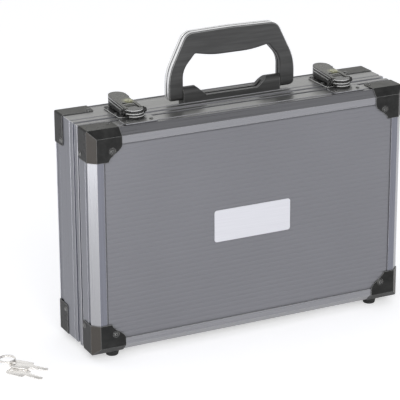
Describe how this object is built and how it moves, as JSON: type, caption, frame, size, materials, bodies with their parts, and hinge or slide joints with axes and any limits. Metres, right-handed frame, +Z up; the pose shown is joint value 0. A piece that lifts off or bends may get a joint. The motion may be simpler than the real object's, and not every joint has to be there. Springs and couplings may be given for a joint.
{
  "type": "hard tool case",
  "caption": "Slim hard tool case standing on rubber feet: hinged aluminium framed halves, ribbed panels, corner guards, carrying handle, key latches and loose keys.",
  "frame": {"origin": "on the floor under the middle of the case (its width and its depth over the corner guards)", "axes": "+X along the width to the right, -Y towards the lid and its nameplate, +Z up to the handle"},
  "size_m": [0.4919, 0.1163, 0.3493],
  "materials": {
    "frame": "satin anodised extrusion",
    "panels": "grey ribbed plastic",
    "lining": "black foam lining",
    "nameplate": "bare satin plate",
    "guards": "black semi-gloss",
    "fasteners": "plain",
    "feet": "matte black",
    "hinges": "plain",
    "handle": "black, fine grain",
    "handle_band": "black",
    "latches": "black",
    "levers": "matte olive grey",
    "hooks": "black, glossy",
    "locks": "black",
    "keys": "nickel plated"
  },
  "bodies": {
    "base": {"base_top": "frame", "base_bottom": "frame", "base_left": "frame", "base_right": "frame", "base_panel": "panels", "base_lining": "lining", "base_guard_tl": "guards", "base_guard_tr": "guards", "base_guard_bl": "guards", "base_guard_br": "guards", "base_rivets": "fasteners", "foot_rl": "feet", "foot_rr": "feet", "foot_screws_base": "fasteners", "hinge_base_left": "hinges", "hinge_base_right": "hinges", "hinge_pins": "fasteners", "handle_pins": "fasteners", "handle_bracket": "handle", "handle_backing": "fasteners", "handle_screws": "fasteners", "latch_base_left": "latches", "latch_base_right": "latches", "lever_pins": "latches"},
    "lid": {"lid_top": "frame", "lid_bottom": "frame", "lid_left": "frame", "lid_right": "frame", "lid_panel": "panels", "lid_lining": "lining", "lid_guard_tl": "guards", "lid_guard_tr": "guards", "lid_guard_bl": "guards", "lid_guard_br": "guards", "lid_rivets": "fasteners", "nameplate": "nameplate", "foot_fl": "feet", "foot_fr": "feet", "foot_screws_lid": "fasteners", "hinge_lid_left": "hinges", "hinge_lid_right": "hinges", "latch_catch_left": "latches", "latch_catch_right": "latches"},
    "handle": {"handle_front": "handle", "handle_rear": "handle", "handle_band": "handle_band"},
    "keys": {"key_a": "keys", "key_b": "keys", "key_ring": "keys"},
    "lever_left": {"latch_lever_left": "levers", "lock_body_left": "locks", "hook_pin_left": "fasteners"},
    "hook_left": {"latch_hook_left": "hooks"},
    "plug_left": {"lock_plug_left": "locks"},
    "lever_right": {"latch_lever_right": "levers", "lock_body_right": "locks", "hook_pin_right": "fasteners"},
    "hook_right": {"latch_hook_right": "hooks"},
    "plug_right": {"lock_plug_right": "locks"}
  },
  "joints": [
    {"name": "lid_hinge", "type": "hinge", "parent": "base", "child": "lid", "pos_m": [0, -0.0197, 0.0065], "axis": [1, 0, 0], "range_deg": [0, 95]},
    {"name": "handle_swing", "type": "hinge", "parent": "base", "child": "handle", "pos_m": [0.0035, 0.0109, 0.2788], "axis": [1, 0, 0], "range_deg": [-88, 88]},
    {"name": "lever_left_pivot", "type": "hinge", "parent": "base", "child": "lever_left", "pos_m": [-0.13, -0.018, 0.2753], "axis": [1, 0, 0], "range_deg": [0, 95]},
    {"name": "hook_left_pivot", "type": "hinge", "parent": "lever_left", "child": "hook_left", "pos_m": [-0.13, -0.01, 0.2739], "axis": [1, 0, 0], "range_deg": [-95, 0]},
    {"name": "plug_left_turn", "type": "hinge", "parent": "lever_left", "child": "plug_left", "pos_m": [-0.1264, 0.00205, 0.275], "axis": [0, 0, -1], "range_deg": [0, 90]},
    {"name": "lever_right_pivot", "type": "hinge", "parent": "base", "child": "lever_right", "pos_m": [0.13, -0.018, 0.2753], "axis": [1, 0, 0], "range_deg": [0, 95]},
    {"name": "hook_right_pivot", "type": "hinge", "parent": "lever_right", "child": "hook_right", "pos_m": [0.13, -0.01, 0.2739], "axis": [1, 0, 0], "range_deg": [-95, 0]},
    {"name": "plug_right_turn", "type": "hinge", "parent": "lever_right", "child": "plug_right", "pos_m": [0.1336, 0.00205, 0.275], "axis": [0, 0, -1], "range_deg": [0, 90]},
    {"name": "keys_lift", "type": "slide", "parent": "base", "child": "keys", "axis": [0, 0, 1], "range_m": [0, 0.1]}
  ],
  "couplings": [
    {"joint": "hook_left_pivot", "follows": "lever_left_pivot", "ratio": -1},
    {"joint": "hook_right_pivot", "follows": "lever_right_pivot", "ratio": -1}
  ]
}
